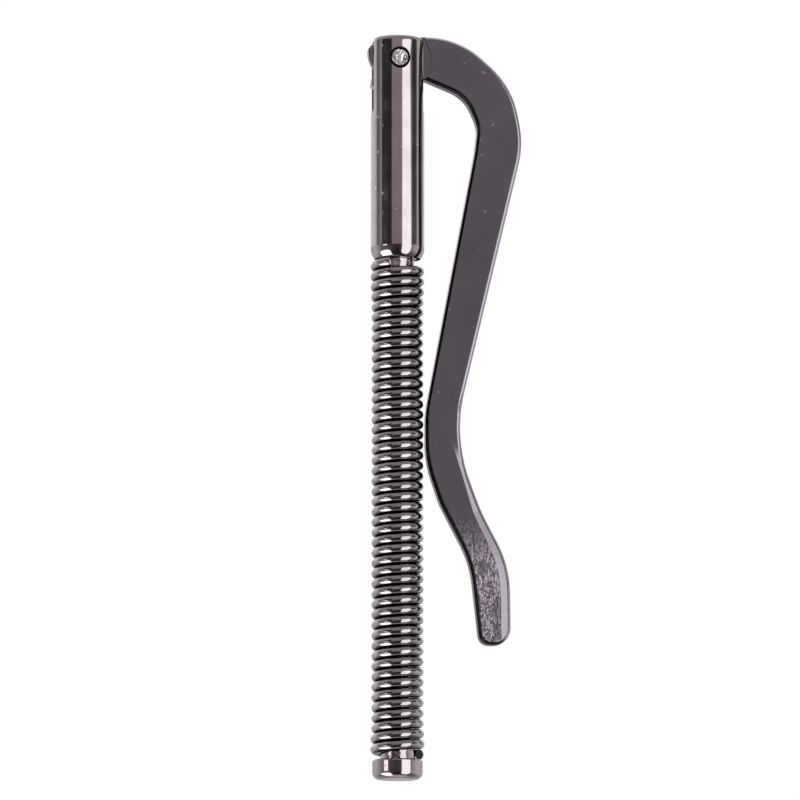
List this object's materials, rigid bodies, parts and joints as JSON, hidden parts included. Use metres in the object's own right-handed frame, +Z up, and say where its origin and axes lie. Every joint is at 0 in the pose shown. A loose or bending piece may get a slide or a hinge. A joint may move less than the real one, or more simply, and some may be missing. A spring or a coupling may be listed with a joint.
{
  "type": "spring money clip bar",
  "caption": "round spring bar with a pivoting flat clip lever that presses banknotes against the bar, fitted in the spine of a wallet",
  "frame": {"origin": "centre of the end cap's flat foot, on the bar's axis", "axes": "+Z up along the bar from the end cap to the sleeve, +X from the bar towards the lever, Y along the hinge pin"},
  "size_m": [0.0171, 0.006, 0.0828],
  "materials": {
    "polished_black_nickel": "polished black nickel plate with faint polishing lines",
    "satin_gunmetal": "satin gunmetal plate on a pressed plate, brighter and pitted at the tip",
    "plated_spring_wire": "dark plated drawn spring wire",
    "bare_pin_steel": "bare steel, cropped and hammered end faces",
    "bare_rod_steel": "drawn steel wire, lightly oiled"
  },
  "bodies": {
    "housing": {"sleeve": "polished_black_nickel", "spring_bush": "polished_black_nickel", "hinge_pin": "bare_pin_steel", "extension_spring": "plated_spring_wire"},
    "lever": {"clip_lever": "satin_gunmetal"},
    "pusher": {"cam_follower": "polished_black_nickel", "push_rod": "bare_rod_steel", "end_cap": "polished_black_nickel"}
  },
  "joints": [
    {"name": "lever_hinge", "type": "hinge", "parent": "housing", "child": "lever", "pos_m": [0, 0, 0.08015], "axis": [0, -1, 0], "range_deg": [0, 85], "stiffness_Nm_per_rad": 0.0032, "springref_deg": -148.97},
    {"name": "rod_slide", "type": "slide", "parent": "housing", "child": "pusher", "axis": [0, 0, -1], "range_m": [0, 0.0016], "deforming": ["extension_spring"]}
  ],
  "couplings": [
    {"joint": "rod_slide", "follows": "lever_hinge", "m_per_rad": 0.001054}
  ]
}
